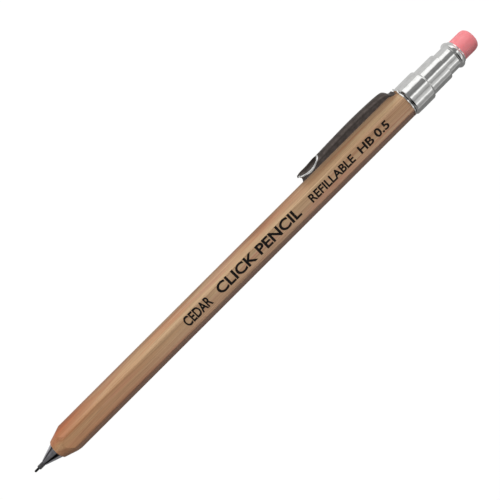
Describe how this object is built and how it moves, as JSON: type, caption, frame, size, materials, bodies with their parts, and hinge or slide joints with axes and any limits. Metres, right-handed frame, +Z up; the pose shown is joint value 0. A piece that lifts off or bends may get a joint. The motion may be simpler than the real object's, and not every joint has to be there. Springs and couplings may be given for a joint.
{
  "type": "mechanical pencil",
  "caption": "Push-button mechanical pencil with a hexagonal cedar barrel, metal cone tip, arched pocket clip, stepped metal end and eraser.",
  "frame": {"origin": "under the middle of the pencil, at the height of the lowest point of its end ferrule", "axes": "+X along the pencil from the lead to the eraser, +Y towards the clip, +Z up out of the top facet"},
  "size_m": [0.1372, 0.0102, 0.0078],
  "materials": {
    "graphite": "satin graphite",
    "bright_steel": "bright polished",
    "tip_metal": "turned and polished",
    "clip_steel": "polished dark nickel",
    "dark_ring": "black, satin",
    "spring_steel": "drawn wire",
    "brass": "turned",
    "cedar": "fine straight grain, thin satin lacquer",
    "soft_rubber": "matt",
    "eraser_rubber": "matt pink",
    "clear_plastic": "natural, slightly milky",
    "core_plastic": "black moulded"
  },
  "bodies": {
    "barrel": {"wooden_barrel": "cedar", "threaded_insert": "brass", "barrel_liner": "brass", "chuck_sleeve": "brass", "return_spring": "spring_steel", "tube_guide": "core_plastic", "clip_ring": "bright_steel", "spacer_ring": "dark_ring", "end_ferrule": "bright_steel"},
    "knock": {"chuck": "brass", "chuck_connector": "brass", "lead_tube": "clear_plastic"},
    "clutch": {"clutch_ring": "bright_steel"},
    "retainer": {"lead_retainer": "soft_rubber"},
    "tip": {"tip_cone": "tip_metal", "guide_pipe": "bright_steel"},
    "lead": {"lead": "graphite"},
    "spare_leads": {"spare_leads": "graphite"},
    "cap": {"knock_cap": "bright_steel", "cap_core": "core_plastic"},
    "eraser": {"eraser": "eraser_rubber"},
    "clip": {"clip_arm": "clip_steel"}
  },
  "joints": [
    {"name": "knock_slide", "type": "slide", "parent": "barrel", "child": "knock", "axis": [-1, 0, 0], "range_m": [0, 0.003], "stiffness_N_per_m": 350, "springref_m": -0.003, "deforming": ["return_spring"]},
    {"name": "clutch_slide", "type": "slide", "parent": "barrel", "child": "clutch", "axis": [-1, 0, 0], "range_m": [0, 0.0007]},
    {"name": "tip_travel", "type": "slide", "parent": "barrel", "child": "retainer", "axis": [-1, 0, 0], "range_m": [0, 0.003]},
    {"name": "tip_unscrew", "type": "hinge", "parent": "retainer", "child": "tip", "pos_m": [-0.0583, -0.00123, 0.0039], "axis": [-1, 0, 0], "range_deg": [0, 2160]},
    {"name": "lead_slide", "type": "slide", "parent": "barrel", "child": "lead", "axis": [-1, 0, 0], "range_m": [-0.0013, 0.012]},
    {"name": "spare_leads_slide", "type": "slide", "parent": "knock", "child": "spare_leads", "axis": [1, 0, 0], "range_m": [-0.0009, 0.0235]},
    {"name": "cap_pull", "type": "slide", "parent": "knock", "child": "cap", "axis": [1, 0, 0], "range_m": [0, 0.01]},
    {"name": "eraser_pull", "type": "slide", "parent": "cap", "child": "eraser", "axis": [1, 0, 0], "range_m": [0, 0.008]},
    {"name": "clip_flex", "type": "hinge", "parent": "barrel", "child": "clip", "pos_m": [0.04695, 0.00265, 0.00505], "axis": [0, 0.284, -0.9588], "range_deg": [0, 4], "stiffness_Nm_per_rad": 0.5, "springref_deg": -1.15}
  ],
  "couplings": [
    {"joint": "clutch_slide", "follows": "knock_slide", "ratio": 0.2332},
    {"joint": "tip_unscrew", "follows": "tip_travel", "rad_per_m": 12566}
  ]
}
